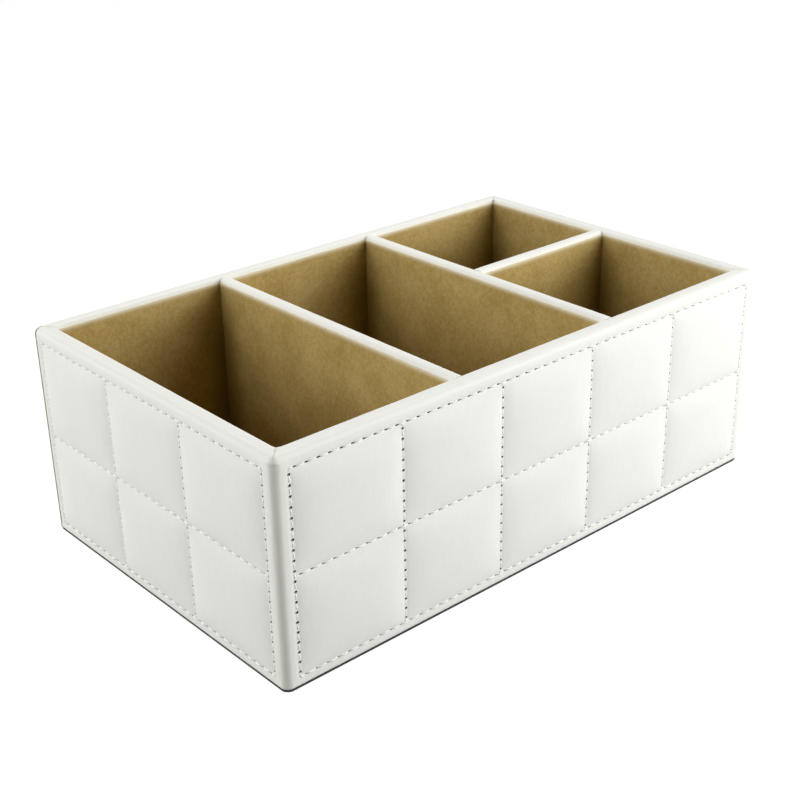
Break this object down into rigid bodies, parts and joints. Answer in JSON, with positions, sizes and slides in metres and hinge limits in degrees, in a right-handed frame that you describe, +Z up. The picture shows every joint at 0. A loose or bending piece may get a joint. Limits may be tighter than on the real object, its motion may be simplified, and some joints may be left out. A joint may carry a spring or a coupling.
{
  "type": "desk organizer box",
  "caption": "Open-topped rectangular organizer box in white quilted leatherette, with fixed dividers and velvet-lined compartments for pens, tools and small parts.",
  "frame": {"origin": "centre of the underside, on the surface that the box stands on", "axes": "+X along the length towards the split bay, +Y to the back, +Z up"},
  "size_m": [0.263, 0.163, 0.092],
  "materials": {
    "white_leather": "white coated leatherette with a fine grain and a soft satin sheen",
    "tan_velvet": "short-napped tan velvet on card, matt",
    "white_thread": "white twisted polyester sewing thread",
    "quilting_foam": "thin pale quilting foam, hidden under the leatherette",
    "fibreboard": "plain medium-density fibreboard, hidden",
    "charcoal_sheet": "charcoal backing sheet, matt"
  },
  "bodies": {
    "root": {"back_board": "fibreboard", "back_foam": "quilting_foam", "back_lining": "tan_velvet", "back_nook_floor": "tan_velvet", "back_thread": "white_thread", "base_board": "fibreboard", "base_cover": "charcoal_sheet", "bay_divider_board": "fibreboard", "bay_divider_cap": "white_leather", "bay_divider_lining": "tan_velvet", "front_board": "fibreboard", "front_foam": "quilting_foam", "front_lining": "tan_velvet", "front_nook_floor": "tan_velvet", "front_thread": "white_thread", "leather_wrap": "white_leather", "left_bay_floor": "tan_velvet", "left_divider_board": "fibreboard", "left_divider_cap": "white_leather", "left_divider_lining": "tan_velvet", "left_end_board": "fibreboard", "left_end_foam": "quilting_foam", "left_end_lining": "tan_velvet", "left_end_thread": "white_thread", "middle_bay_floor": "tan_velvet", "right_divider_board": "fibreboard", "right_divider_cap": "white_leather", "right_divider_lining": "tan_velvet", "right_end_board": "fibreboard", "right_end_foam": "quilting_foam", "right_end_lining": "tan_velvet", "right_end_thread": "white_thread"}
  },
  "joints": []
}
